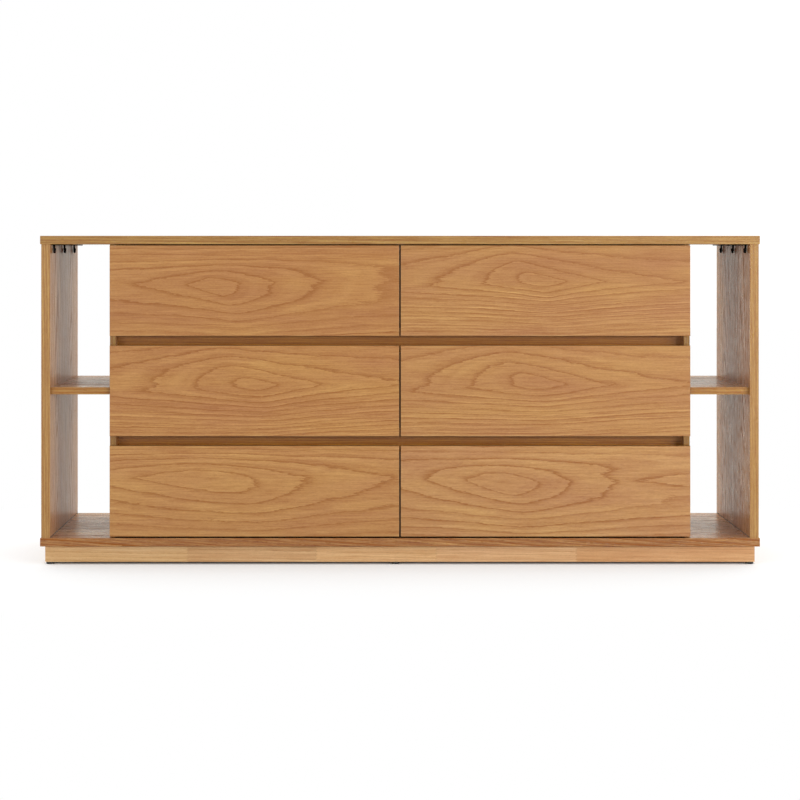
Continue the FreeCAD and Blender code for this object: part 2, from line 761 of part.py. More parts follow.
def make_drawer(row, column):
    """A drawer front, its box and both slides, in one of the six openings."""
    name = f"{row}_{column}"
    front_z = f"({LOWEST_FRONT} + {ROWS[row]} * {ROW_PITCH})"
    opening_x = f"(-{OPENING_HALF})" if column == "left" else "(Sizes.divider_thickness / 2)"
    front_width = f"({CASE_HALF} - Sizes.drawer_front_side_inset - Sizes.centre_gap / 2)"
    front_x = low_corner(
        column,
        "(Sizes.centre_gap / 2)",
        f"({CASE_HALF} - Sizes.drawer_front_side_inset)",
    )
    front = board(
        f"{name}_front",
        (front_x, FRONT_FACE, front_z),
        rectangle(front_width, "Sizes.drawer_front_thickness"),
        "Sizes.drawer_front_height",
        eased=(-Y_AXIS,),
    )
    keep(front, f"{name}_drawer_front")

    box_x = f"({opening_x} + Sizes.slide_width)"
    box_z = f"({front_z} + Sizes.box_rise)"
    depth = "Sizes.box_depth"
    above = f"Sizes.box_height - Sizes.box_bottom_rise - {GROOVE_HEIGHT}"
    grooved = [
        ("east", "Sizes.box_board"),
        ("north", "Sizes.box_bottom_rise"),
        ("west", "Sizes.groove_depth"),
        ("north", GROOVE_HEIGHT),
        ("east", "Sizes.groove_depth"),
        ("north", above),
        ("west", None),
        ("south", None),
    ]
    starts = {"left": box_x, "right": f"({box_x} + {BOX_WIDTH})"}
    sides = [
        board(
            f"{name}_{side}_side",
            (starts[side], FRONT_BACK, box_z),
            turned(grooved, side),
            depth,
            "XZ_Plane",
        )
        for side in SIDES
    ]
    keep(group(f"{name}_sides", sides), f"{name}_drawer_sides")

    inner_x = f"({box_x} + Sizes.box_board)"
    ends = [
        board(
            f"{name}_inner_front",
            (inner_x, FRONT_BACK, box_z),
            grooved,
            BOX_INNER_WIDTH,
            "YZ_Plane",
        ),
        board(
            f"{name}_box_back",
            (
                inner_x,
                f"({FRONT_BACK} + {depth} - Sizes.box_board)",
                f"({box_z} + Sizes.box_bottom_rise + {GROOVE_HEIGHT})",
            ),
            rectangle(BOX_INNER_WIDTH, "Sizes.box_board"),
            above,
        ),
    ]
    keep(group(f"{name}_ends", ends), f"{name}_drawer_ends")

    # The bottom slides in from the back, under the box back, into three grooves.
    tongue = "(Sizes.groove_depth - Sizes.groove_clearance)"
    bottom = board(
        f"{name}_bottom",
        (
            f"({inner_x} - {tongue})",
            f"({FRONT_BACK} + Sizes.box_board - {tongue})",
            f"({box_z} + Sizes.box_bottom_rise)",
        ),
        rectangle(
            f"{BOX_INNER_WIDTH} + 2 * {tongue}",
            f"{depth} - Sizes.box_board + {tongue}",
        ),
        "Sizes.box_bottom_thickness",
    )
    keep(bottom, f"{name}_drawer_bottom")

    centre_z = f"({box_z} + Sizes.box_height / 2)"
    walls = {"left": opening_x, "right": f"({opening_x} + {OPENING_WIDTH})"}
    channels = []
    middles = []
    members = []
    for side in SIDES:
        inward = -SIDES[side]
        channels.append(
            slide_section(
                f"{name}_{side}_channel",
                (walls[side], SLIDE_START, f"({centre_z} - Sizes.channel_height / 2)"),
                side,
                "Sizes.channel_height",
                "Sizes.channel_reach",
                "Sizes.slide_length",
            )
        )
        middles.append(
            slide_section(
                f"{name}_{side}_middle",
                (
                    f"({walls[side]} + {inward} * Sizes.middle_standoff)",
                    SLIDE_START,
                    f"({centre_z} - Sizes.middle_height / 2)",
                ),
                side,
                "Sizes.middle_height",
                "Sizes.middle_reach",
                "Sizes.middle_length",
            )
        )
        members.append(
            slide_section(
                f"{name}_{side}_member",
                (
                    f"({walls[side]} + {inward} * Sizes.slide_width)",
                    SLIDE_START,
                    f"({centre_z} - Sizes.drawer_member_height / 2)",
                ),
                side,
                "Sizes.drawer_member_height",
                "Sizes.drawer_member_reach",
                "Sizes.slide_length",
                closed="box",
            )
        )
    keep(group(f"{name}_middles", middles), f"{name}_middle_slides")
    keep(group(f"{name}_members", members), f"{name}_drawer_slides")
    return channels


def check_document():
    """Stops if anything in the document failed, or if a sub-part has no sound solid."""
    DOCUMENT.recompute()
    for thing in DOCUMENT.Objects:
        if "Invalid" in thing.State or "Error" in thing.State:
            raise RuntimeError(f"{thing.Label} failed: {thing.State}")
    for part in parts:
        if part.Shape.isNull() or not part.Shape.isValid() or not part.Shape.Solids:
            raise RuntimeError(f"{part.Label} has no sound solid")


def main():
    dowel_holes = make_dowels()
    screw_holes, screw_sinks = make_rail_screws()
    back_holes = make_back_screws()
    foot_holes = make_feet()
    make_case(dowel_holes + screw_holes + back_holes)
    make_shelves(dowel_holes)
    make_plinth(foot_holes + dowel_holes)
    make_hook_rails(screw_sinks, screw_holes)
    make_grip_rails(dowel_holes)
    channels = []
    for row in ROWS:
        for column in SIDES:
            channels += make_drawer(row, column)
    keep(group("channels", channels), "case_slide_channels")
    check_document()
    os.makedirs("parts", exist_ok=True)
    for part in parts:
        part.Shape.exportStep(f"parts/{part.Label}.step")
    print(f"wrote {len(parts)} sub-parts")


main()
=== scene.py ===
import math

import bmesh
import bpy
from mathutils import Matrix, Vector


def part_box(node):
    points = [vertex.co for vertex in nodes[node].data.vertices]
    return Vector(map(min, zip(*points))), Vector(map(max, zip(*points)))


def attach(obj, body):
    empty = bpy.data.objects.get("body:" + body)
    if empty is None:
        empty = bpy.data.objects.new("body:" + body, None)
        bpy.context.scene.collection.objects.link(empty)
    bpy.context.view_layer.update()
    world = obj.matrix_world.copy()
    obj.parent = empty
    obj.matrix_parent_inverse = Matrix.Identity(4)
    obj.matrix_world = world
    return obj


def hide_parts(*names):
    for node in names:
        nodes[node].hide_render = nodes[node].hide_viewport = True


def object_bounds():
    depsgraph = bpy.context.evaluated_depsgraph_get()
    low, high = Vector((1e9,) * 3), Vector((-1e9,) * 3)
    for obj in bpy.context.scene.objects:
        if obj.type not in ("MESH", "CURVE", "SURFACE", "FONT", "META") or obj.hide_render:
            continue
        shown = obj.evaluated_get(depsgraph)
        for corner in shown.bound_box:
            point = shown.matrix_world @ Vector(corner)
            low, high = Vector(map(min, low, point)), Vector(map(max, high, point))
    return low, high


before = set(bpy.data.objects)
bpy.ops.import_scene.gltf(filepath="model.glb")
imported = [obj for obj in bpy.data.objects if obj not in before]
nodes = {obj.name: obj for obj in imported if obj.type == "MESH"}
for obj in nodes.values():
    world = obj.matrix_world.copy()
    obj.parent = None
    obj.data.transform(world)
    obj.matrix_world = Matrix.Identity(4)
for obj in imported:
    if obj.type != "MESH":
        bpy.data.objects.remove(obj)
cad_low, cad_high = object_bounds()

# Low six-drawer dresser in crown-cut oak veneer, with an open bay at each end.
# The scene is in metres. MM turns the millimetres of the real thing into metres, and
# the wood patterns are worked out in millimetres.
MM = 0.001
RING_WIDTH = 8.0  # mm through the rings from one ring line to the next
TONE_RANGE = 0.25  # how far the slow tone of the wood swings to each side

ROWS = ("bottom", "middle", "top")
COLUMNS = ("left", "right")


def linear(colour):
    """A colour written as sRGB hex, in the linear values that a shader takes."""
    values = []
    for start in (1, 3, 5):
        share = int(colour[start : start + 2], 16) / 255
        low = share / 12.92
        values.append(low if share <= 0.04045 else ((share + 0.055) / 1.055) ** 2.4)
    return (*values, 1.0)


def add(tree, kind, settings=None, inputs=None, output=0):
    """Adds a shader node, and gives one of its outputs, or all where none is named.

    The settings are a dictionary, or only the word for the node's operation. Each input
    is a value or another node's output.
    """
    if isinstance(settings, str):
        settings = {"operation": settings}
    node = tree.nodes.new("ShaderNode" + kind)
    for name, value in (settings or {}).items():
        if name == "stops":
            ramp = node.color_ramp
            while len(ramp.elements) < len(value):
                ramp.elements.new(0.5)
            for element, (place, colour) in zip(ramp.elements, value):
                element.position = place
                element.color = colour
        else:
            setattr(node, name, value)
    for name, value in (inputs or {}).items():
        if isinstance(value, bpy.types.NodeSocket):
            tree.links.new(value, node.inputs[name])
        else:
            node.inputs[name].default_value = value
    return node.outputs if output is None or not node.outputs else node.outputs[output]


def grey(value):
    return (value, value, value, 1.0)


# Wood figure, as node groups that every wood material shares


def new_group(name, takes, gives):
    """An empty node group with number sockets, and its two end nodes."""
    group = bpy.data.node_groups.new(name, "ShaderNodeTree")
    for socket in takes:
        group.interface.new_socket(socket, in_out="INPUT", socket_type="NodeSocketFloat")
    for socket in gives:
        group.interface.new_socket(socket, in_out="OUTPUT", socket_type="NodeSocketFloat")
    start = group.nodes.new("NodeGroupInput")
    end = group.nodes.new("NodeGroupOutput")
    return group, start.outputs, end.inputs


# What describes the rings round one heart of a crown figure. The rises are how fast the
# rings pile up above and below it, and the leans how far their crests shift to the side
# for each mm away from it. The slopes are how many mm of rings each mm along the grain
# passes, left and right, and the levels where that falls to half. The start is the
# distance that the heart begins at, and the bow bends the line of the tips. The fades
# are how many mm above and below the lenses give way to straight lines, and the tilt
# turns the whole figure.
HEART = ("Heart along", "Heart across", "Rise above", "Rise below", "Lean above",
         "Lean below", "Slope left", "Slope right", "Level left", "Level right", "Start",
         "Bow", "Fade above", "Fade below", "Tilt")


def heart_group():
    """Distance in mm through the growth rings, from the heart of a crown figure.

    Crown-cut veneer slices the rings nearly flat, so they show as long closed lenses
    round a heart and draw together to straight lines towards the sides of the leaf.
    The second output is how steeply the rings pass by there.
    """
    heart_round = 5.0  # mm of rings over which the crests of the lenses are rounded
    power = 1.3  # how the rings draw together away from the heart
    lean_ends = 60.0  # mm from the heart, where the lean has fallen to half
    wander = 8.0  # mm that the figure bends up and down by along the leaf
    group, given, result = new_group(
        "heart_distance", ("Along", "Across", "Seed") + HEART, ("Distance", "Steepness")
    )

    def by_side(place, low, high):
        """One of two given values, by which side of 0 the place is on."""
        past = add(group, "Math", "GREATER_THAN", {0: place, 1: 0.0})
        return add(group, "Mix", {"data_type": "FLOAT"}, {0: past, 2: given[low], 3: given[high]})

    bend = stretched_noise(group, given["Along"], given["Across"], given["Seed"], 330, 150)
    across = add(group, "Math", "SUBTRACT", {0: given["Across"], 1: given["Heart across"]})
    across = add(group, "Math", "MULTIPLY_ADD", {0: bend, 1: wander, 2: across})
    along = add(group, "Math", "SUBTRACT", {0: given["Along"], 1: given["Heart along"]})
    # The crests lean no further once they are well away from the heart.
    away = add(group, "Math", "ABSOLUTE", {0: across})
    holding = add(group, "Math", "MULTIPLY_ADD", {0: away, 1: 1 / lean_ends, 2: 1.0})
    leaning = add(group, "Math", "DIVIDE", {0: across, 1: holding})
    shifted = add(group, "Math", "MULTIPLY_ADD",
                  {0: by_side(across, "Lean below", "Lean above"), 1: leaning, 2: along})
    reach = add(group, "Math", "ABSOLUTE", {0: shifted})
    # The lenses' ends pass fewer rings the further out they reach.
    level = add(group, "Math", "DIVIDE",
                {0: reach, 1: by_side(shifted, "Level left", "Level right")})
    level = add(group, "Math", "ADD", {0: level, 1: 1.0})
    sloped = add(group, "Math", "MULTIPLY",
                 {0: reach, 1: by_side(shifted, "Slope left", "Slope right")})
    sloped = add(group, "Math", "DIVIDE", {0: sloped, 1: level})
    ends = add(group, "Math", "MULTIPLY_ADD",
               {0: sloped, 1: sloped, 2: heart_round * heart_round})
    ends = add(group, "Math", "SQRT", {0: ends})
    ends = add(group, "Math", "SUBTRACT", {0: ends, 1: heart_round})
    # The line of the lens tips bows up or down away from the heart.
    bow = add(group, "Math", "MULTIPLY", {0: ends, 1: given["Bow"]})
    across = add(group, "Math", "SUBTRACT", {0: across, 1: bow})
    tilt = add(group, "Math", "MULTIPLY", {0: along, 1: given["Tilt"]})
    across = add(group, "Math", "SUBTRACT", {0: across, 1: tilt})
    away = add(group, "Math", "ABSOLUTE", {0: across})
    fade = add(group, "Math", "DIVIDE", {0: away, 1: by_side(across, "Fade below", "Fade above")})
    fade = add(group, "Math", "POWER", {0: fade, 1: 2.0})
    fade = add(group, "Math", "ADD", {0: fade, 1: 1.0})
    ends = add(group, "Math", "DIVIDE", {0: ends, 1: fade})
    rise = by_side(across, "Rise below", "Rise above")
    sides = add(group, "Math", "POWER", {0: away, 1: power})
    sides = add(group, "Math", "MULTIPLY", {0: rise, 1: sides})
    total = add(group, "Math", "ADD", {0: sides, 1: ends})
    total = add(group, "Math", "ADD", {0: total, 1: given["Start"]})
    group.links.new(total, result["Distance"])
    steep = add(group, "Math", "POWER", {0: away, 1: power - 1})
    climb = add(group, "Math", "MULTIPLY", {0: rise, 1: power})
    steep = add(group, "Math", "MULTIPLY", {0: climb, 1: steep})
    steep = add(group, "Math", "MINIMUM", {0: steep, 1: 1.0})
    group.links.new(steep, result["Steepness"])
    return group


def stretched_noise(tree, along, across, seed, length, width, detail=2.0, roughness=0.5):
    """Noise from -0.5 to 0.5 whose blots are `length` by `width` mm."""
    place = add(tree, "CombineXYZ", None, {
        "X": add(tree, "Math", "DIVIDE", {0: along, 1: length}),
        "Y": add(tree, "Math", "DIVIDE", {0: across, 1: width}),
        "Z": seed,
    })
    noise = add(tree, "TexNoise", {"noise_dimensions": "3D"},
                {"Vector": place, "Scale": 1.0, "Detail": detail, "Roughness": roughness})
    return add(tree, "Math", "SUBTRACT", {0: noise, 1: 0.5})


def ring_places(group, distance, steepness, seed):
    """The ring that a place lies in, how far through it, and how dark its line is."""
    uneven = stretched_noise(group, seed, distance, seed, 1.0, 19, 1.0)
    # The first rings round a heart, as far as 24 mm, are evenly spaced.
    unevenness = add(group, "MapRange", None, {
        "Value": distance, "From Min": 24.0, "From Max": 50.0, "To Max": 1.1,
    })
    count = add(group, "Math", "DIVIDE", {0: distance, 1: RING_WIDTH})
    count = add(group, "Math", "MULTIPLY_ADD", {0: uneven, 1: unevenness, 2: count})
    share = add(group, "Math", "FRACT", {0: count})
    ring = add(group, "Math", "FLOOR", {0: count})
    shade = add(group, "TexWhiteNoise", {"noise_dimensions": "2D"}, {
        "Vector": add(group, "CombineXYZ", None, {"X": ring, "Y": seed}),
    })
    # Further out, some of the ring lines are faint.
    faintest = add(group, "MapRange", None, {
        "Value": distance, "From Min": 26.0, "From Max": 44.0, "To Min": 0.64, "To Max": 0.25,
    })
    shade = add(group, "MapRange", None, {"Value": shade, "To Min": faintest, "To Max": 0.8})
    # Where the cut lies flat in a ring the line would spread, so it is drawn in.
    drawn_in = add(group, "MapRange", None, {
        "Value": steepness, "From Max": 0.6, "To Min": 0.42, "To Max": 1.0,
    })
    share = add(group, "Math", "DIVIDE", {0: share, 1: drawn_in})
    return ring, share, shade


def fine_streaks(group, given, distance, ring, share):
    """Streaks that keep to the rings where they are steep, and to the fibres everywhere."""
    summer_strength = 0.3
    ring_strength = 1.5  # of the streaks that follow the rings
    fleck_strength = 0.35
    along, across, seed = given["Along"], given["Across"], given["Seed"]
    # Dense summer wood shows as a pale line on the other side of some ring lines.
    summer = add(group, "ValToRGB", {"stops": [
        (0.0, grey(0.0)), (0.55, grey(0.0)), (0.86, grey(1.0)), (1.0, grey(0.2)),
    ]}, {"Fac": share})
    shown = add(group, "TexWhiteNoise", {"noise_dimensions": "1D"}, {"W": ring})
    summer = add(group, "Math", "MULTIPLY", {0: summer, 1: shown})
    following = stretched_noise(group, along, distance, seed, 160, 2.0, 2.0, 0.6)
    following = add(group, "Math", "MULTIPLY", {0: following, 1: ring_strength})
    lined = add(group, "Math", "MULTIPLY_ADD", {0: summer, 1: summer_strength, 2: following})
    lengthwise = stretched_noise(group, along, across, seed, 75, 3.4, 3.5, 0.64)
    streak = add(group, "Math", "MULTIPLY_ADD", {0: lined, 1: given["Steepness"], 2: lengthwise})
    # Groups of pores show as short flecks.
    flecks = stretched_noise(group, along, across, seed, 7, 2.4, 1.0)
    return add(group, "Math", "MULTIPLY_ADD", {0: flecks, 1: fleck_strength, 2: streak})


def grain_group():
    """Oak as the eye sees it: ring lines, fine streaks, open pores and slow tone."""
    group, given, result = new_group(
        "oak_grain",
        ("Along", "Across", "Distance", "Steepness", "Seed"),
        ("Line", "Streak", "Pore", "Tone"),
    )
    along, across, seed = given["Along"], given["Across"], given["Seed"]
    distance = given["Distance"]
    # The rings waver, more and more finely, by so many mm.
    for length, width, waver in ((90, 22, 2.4), (26, 3.0, 2.2), (9, 0.9, 1.2)):
        noise = stretched_noise(group, along, across, seed, length, width, 1.0)
        distance = add(group, "Math", "MULTIPLY_ADD", {0: noise, 1: waver, 2: distance})
    ring, share, shade = ring_places(group, distance, given["Steepness"], seed)
    # A ring line is sharp where the spring growth starts and fades into the summer.
    profile = add(group, "ValToRGB", {"stops": [
        (0.0, grey(0.4)), (0.05, grey(1.0)), (0.13, grey(0.66)), (0.25, grey(0.25)),
        (0.45, grey(0.07)), (0.8, grey(0.0)), (1.0, grey(0.0)),
    ]}, {"Fac": share})
    line = add(group, "Math", "MULTIPLY", {0: profile, 1: shade})
    group.links.new(line, result["Line"])
    streak = fine_streaks(group, given, distance, ring, share)
    group.links.new(streak, result["Streak"])
    # Spring vessels of 0.3 mm, cut lengthwise into dashes of 3 to 8 mm, lie mostly in
    # the ring lines.
    vessel = stretched_noise(group, along, across, seed, 4.5, 0.32, 1.0)
    vessel = add(group, "Math", "MULTIPLY_ADD", {0: line, 1: 0.12, 2: vessel})
    pore = add(group, "MapRange", None, {"Value": vessel, "From Min": 0.13, "From Max": 0.22})
    group.links.new(pore, result["Pore"])
    tone = stretched_noise(group, along, across, seed, 300, 60, 2.0)
    group.links.new(tone, result["Tone"])
    return group


HEART_DISTANCE = heart_group()
OAK_GRAIN = grain_group()

# For a face that looks along the first axis, the grain runs along the second one and
# the figure lies across the third.
FLAT_GRAIN = {"x": "yz", "y": "xz", "z": "xy"}
FRONT_GRAIN = {"x": "zy", "y": "xz", "z": "xy"}
UPRIGHT_GRAIN = {"x": "zy", "y": "zx", "z": "yx"}
DEPTH_GRAIN = {"x": "yz", "y": "xz", "z": "yx"}


def new_material(name):
    material = bpy.data.materials.new(name)
    material.use_nodes = True
    material.node_tree.nodes.clear()
    return material, material.node_tree


def finish_material(tree, **inputs):
    """The shader itself and the output."""
    shader = add(tree, "BsdfPrincipled", None, inputs)
    add(tree, "OutputMaterial", None, {"Surface": shader})


def lying_grain(tree, layout, face):
    """Sockets in mm along and across the grain, and 1 where a narrow edge is seen."""
    square_on = 0.7  # how much a surface has to look along an axis, to be its side
    place = add(tree, "VectorMath", "SCALE",
                {0: add(tree, "TexCoord", output="Object"), "Scale": 1 / MM})
    axes = add(tree, "SeparateXYZ", None, {0: place}, output=None)
    looks = add(tree, "VectorMath", "ABSOLUTE",
                {0: add(tree, "NewGeometry", output="True Normal")})
    looks = add(tree, "SeparateXYZ", None, {0: looks}, output=None)

    def pair(axis):
        along, across = layout[axis]
        return add(tree, "CombineXYZ", None,
                   {"X": axes[along.upper()], "Y": axes[across.upper()]})

    chosen = pair(face)
    edge = None
    for axis in layout:
        if axis == face:
            continue
        seen = add(tree, "Math", "GREATER_THAN", {0: looks[axis.upper()], 1: square_on})
        chosen = add(tree, "Mix", {"data_type": "VECTOR"},
                     {0: seen, 4: chosen, 5: pair(axis)}, output=1)
        edge = seen if edge is None else add(tree, "Math", "MAXIMUM", {0: edge, 1: seen})
    parts = add(tree, "SeparateXYZ", None, {0: chosen}, output=None)
    return parts["X"], parts["Y"], edge


def grain_nodes(tree, along, across, distance, steepness, seed):
    """The shared grain group, used in one material: its outputs by name."""
    return add(tree, "Group", {"node_tree": OAK_GRAIN}, {
        "Along": along, "Across": across, "Distance": distance, "Steepness": steepness,
        "Seed": seed,
    }, output=None)


def straight_grain(tree, along, across, spacing, start=300.0, drift=0.012):
    """Distance through rings cut square on: straight lines `spacing` mm apart.

    The drift is how far they run off the edge, in mm for each mm.
    """
    place = add(tree, "Math", "MULTIPLY_ADD", {0: across, 1: RING_WIDTH / spacing, 2: start})
    return add(tree, "Math", "MULTIPLY_ADD", {0: along, 1: drift, 2: place})


def crown_figure(tree, along, across, seed, hearts):
    """Distance and steepness round the nearest of several hearts, each as HEART lists."""
    nearest = None
    for heart in hearts:
        given = dict(zip(HEART, heart), Along=along, Across=across, Seed=seed)
        found = add(tree, "Group", {"node_tree": HEART_DISTANCE}, given, output=None)
        distance, steepness = found["Distance"], found["Steepness"]
        if nearest is None:
            nearest = distance, steepness
            continue
        closer = add(tree, "Math", "LESS_THAN", {0: distance, 1: nearest[0]})
        nearest = tuple(
            add(tree, "Mix", {"data_type": "FLOAT"}, {0: closer, 2: old, 3: new})
            for old, new in zip(nearest, (distance, steepness))
        )
    return nearest


def oak_colour(tree, grain, light, dark, line_colour, edge=None, band=None, streaks=0.52):
    """Colour of lacquered oak from its grain outputs; `streaks` is their strength."""
    pore_depth = 0.35  # how much of their dark filling the pores show
    tone = add(tree, "MapRange", None, {
        "Value": grain["Tone"], "From Min": -TONE_RANGE, "From Max": TONE_RANGE,
    })
    colour = add(tree, "Mix", {"data_type": "RGBA"},
                 {0: tone, 6: linear(dark), 7: linear(light)}, output=2)
    if edge is not None:
        colour = add(tree, "Mix", {"data_type": "RGBA"},
                     {0: edge, 6: colour, 7: linear(band)}, output=2)
    # A dark streak loses the most blue and the least red.
    swing = (0.6 * streaks, streaks, 1.35 * streaks)
    streak = add(tree, "VectorMath", "MULTIPLY_ADD", {
        0: add(tree, "CombineXYZ", None, {axis: grain["Streak"] for axis in ("X", "Y", "Z")}),
        1: tuple(2 * share for share in swing), 2: (1.0, 1.0, 1.0),
    })
    colour = add(tree, "VectorMath", "MULTIPLY", {0: colour, 1: streak})
    colour = add(tree, "Mix", {"data_type": "RGBA"},
                 {0: grain["Line"], 6: colour, 7: linear(line_colour)}, output=2)
    depth = add(tree, "Math", "MULTIPLY", {0: grain["Pore"], 1: pore_depth})
    return add(tree, "Mix", {"data_type": "RGBA", "blend_type": "MULTIPLY"},
               {0: depth, 6: colour, 7: linear("#7A4A26")}, output=2)


def lacquered_oak(tree, grain, colour, roughness=0.28, dull=0.0):
    """Satin lacquer over open-pored oak: sunk pores, a little duller in the lines.

    `dull` is added to the roughness.
    """
    pore_sink = 0.15 * MM
    line_sink = 0.8  # share of the pores' depth that the lacquer sinks by in the lines
    line_dull = 0.35  # what a full line adds to the roughness
    hollow = add(tree, "Math", "MULTIPLY_ADD", {0: grain["Line"], 1: line_sink, 2: grain["Pore"]})
    bump = add(tree, "Bump", {"invert": True},
               {"Strength": 0.7, "Distance": pore_sink, "Height": hollow})
    rough = add(tree, "Math", "MULTIPLY_ADD", {0: grain["Line"], 1: line_dull, 2: roughness})
    rough = add(tree, "Math", "ADD", {0: rough, 1: dull})
    finish_material(tree, **{"Base Color": colour, "Roughness": rough, "Normal": bump})


# Oak as lacquered: the faces' light and dark wood and ring lines, then the edge bands.
FACE_LIGHT = "#B98549"
FACE_DARK = "#AC7343"
FACE_LINE = "#965409"
FRONT_BAND = "#A87A42"
SHELF_BAND = "#A67739"
END_BAND = "#AA7D43"
CASE_BAND = "#986E35"
DIVIDER_SHADE_BAND = "#543718"
# The divider's band is painted dark: painted shade for its front edge, seen only down the gap
# between the fronts.
TOP_BAND = "#A77C42"
BOTTOM_BAND = "#9E6938"


def drawer_front_veneer(name, hearts, seed, light, dark):
    """One crown-cut leaf of oak veneer across a whole drawer front, satin lacquer."""
    material, tree = new_material(name)
    along, across, edge = lying_grain(tree, FRONT_GRAIN, "y")
    distance, steepness = crown_figure(tree, along, across, seed, hearts)
    grain = grain_nodes(tree, along, across, distance, steepness, seed)
    colour = oak_colour(tree, grain, light, dark, FACE_LINE, edge, FRONT_BAND)
    lacquered_oak(tree, grain, colour)
    return material


# The next three change a panel's colour in some places: painted shade in the lowest gap and along
# the end panels' feet, and painted light on the top's edge band.


def painted_gap_shade(tree, colour, along, across, edge):
    """Painted shade, not a stain: near-black on the bottom panel right under the drawer fronts.

    The photograph shows the lowest gap as a black line, darker than shade alone.
    """
    behind_front = (-222.0, -194.0)  # mm, where the strip lies in depth
    half_length = 713.5  # mm, up to the sides of the case
    cover = 0.97  # how much of the wood the painted shade hides
    middle = sum(behind_front) / 2
    strip = add(tree, "Math", "COMPARE", {0: across, 1: middle, 2: behind_front[1] - middle})
    inside = add(tree, "Math", "COMPARE", {0: along, 1: 0.0, 2: half_length})
    strip = add(tree, "Math", "MULTIPLY", {0: strip, 1: inside})
    strip = add(tree, "Math", {"operation": "SUBTRACT", "use_clamp": True}, {0: strip, 1: edge})
    strip = add(tree, "Math", "MULTIPLY", {0: strip, 1: cover})
    return add(tree, "Mix", {"data_type": "RGBA"},
               {0: strip, 6: colour, 7: linear("#0B0907")}, output=2)


def painted_joint_shadow(tree, colour, along, across, edge):
    """Painted shade: a fine dark line where an end panel stands on the bottom panel, the shadow
    in the joint.
    """
    foot = 67.0  # mm, top of the bottom panel
    line = 2.4  # mm, height of the line
    strength = 0.9
    near = add(tree, "Math", "COMPARE", {0: along, 1: foot, 2: line})
    near = add(tree, "Math", {"operation": "SUBTRACT", "use_clamp": True}, {0: near, 1: edge})
    near = add(tree, "Math", "MULTIPLY", {0: near, 1: strength})
    return add(tree, "Mix", {"data_type": "RGBA"},
               {0: near, 6: colour, 7: linear("#2A170B")}, output=2)


def painted_light_to_the_right(tree, colour, along, across, edge):
    """Painted light on the edge band of the top: paler and less yellow from left to right, as lit
    from the right.
    """
    half_length = 900.0  # mm
    left, right = (0.87, 0.81, 0.69), (1.06, 1.08, 1.18)  # shares of red, green and blue
    place = add(tree, "MapRange", None,
                {"Value": along, "From Min": -half_length, "From Max": half_length})
    tone = add(tree, "Mix", {"data_type": "VECTOR"}, {0: place, 4: left, 5: right}, output=1)
    toned = add(tree, "VectorMath", "MULTIPLY", {0: colour, 1: tone})
    return add(tree, "Mix", {"data_type": "RGBA"}, {0: edge, 6: colour, 7: toned}, output=2)


# The crown figure of a plain leaf: what HEART lists, from the rises on.
LEAF_FIGURE = (0.13, 0.10, 0.5, 1.8, 0.12, 0.14, 500.0, 350.0, 3.0, 0.3, 60.0, 70.0, 0.01)


def leaf_veneer(name, layout, face, first_heart, heart_shift, seed, band=END_BAND,
                edge=(7.0, 300.0, 0.012), edge_line=0.6, mottle=0.3, finish=None,
                roughness=0.28, streaks=0.52, leaf_width=225.0):
    """Leaves of oak veneer side by side, each with its own crown figure.

    The leaves are `leaf_width` mm wide. The heart of the first lies `first_heart` mm
    along the grain, and each following leaf's is shifted. The edge bands have straight
    grain, given as the spacing, start and drift of its lines, and its line strength.
    The mottle is the strength of the short wavy streaks on the faces, and of how
    unevenly the lacquer has sunk in.
    """
    face_line = 0.8  # strength of the ring lines on the faces
    band_mottle = 0.3
    sway = 30.0  # mm that the short streaks wave from side to side by
    uneven_dull = 0.45  # range of roughness that full mottle spreads over
    material, tree = new_material(name)
    along, across, band_seen = lying_grain(tree, layout, face)
    leaf = add(tree, "Math", "DIVIDE", {0: across, 1: leaf_width})
    leaf = add(tree, "Math", "FLOOR", {0: leaf})
    middle = add(tree, "Math", "MULTIPLY_ADD", {0: leaf, 1: leaf_width, 2: leaf_width / 2})
    heart = add(tree, "Math", "MULTIPLY_ADD", {0: leaf, 1: heart_shift, 2: first_heart})
    own_seed = add(tree, "Math", "MULTIPLY_ADD", {0: leaf, 1: 3.7, 2: seed})
    crown = crown_figure(tree, along, across, own_seed, [(heart, middle, *LEAF_FIGURE)])[0]
    straight = straight_grain(tree, along, across, *edge)
    distance = add(tree, "Mix", {"data_type": "FLOAT"}, {0: band_seen, 2: crown, 3: straight})
    # These leaves keep the broad ring bands of a flat cut, so the lines aren't drawn in.
    grain = dict(grain_nodes(tree, along, across, distance, 1.0, own_seed).items())
    weight = add(tree, "Mix", {"data_type": "FLOAT"}, {0: band_seen, 2: face_line, 3: edge_line})
    grain["Line"] = add(tree, "Math", "MULTIPLY", {0: grain["Line"], 1: weight})
    wave = stretched_noise(tree, along, across, own_seed, 60, 40, 1.0)
    wavy = add(tree, "Math", "MULTIPLY_ADD", {0: wave, 1: sway, 2: across})
    short = stretched_noise(tree, along, wavy, own_seed, 34, 5.0, 1.5, 0.6)
    strength = add(tree, "Mix", {"data_type": "FLOAT"}, {0: band_seen, 2: mottle, 3: band_mottle})
    grain["Streak"] = add(tree, "Math", "MULTIPLY_ADD",
                          {0: short, 1: strength, 2: grain["Streak"]})
    colour = oak_colour(tree, grain, FACE_LIGHT, FACE_DARK, FACE_LINE, band_seen, band, streaks)
    # The finish, where given, puts painted shade or painted light into the colour.
    if finish is not None:
        colour = finish(tree, colour, along, across, band_seen)
    patches = stretched_noise(tree, along, wavy, own_seed, 30, 15, 2.0, 0.6)
    dull = add(tree, "Math", "MULTIPLY", {0: patches, 1: uneven_dull * mottle})
    lacquered_oak(tree, grain, colour, roughness, dull)
    return material


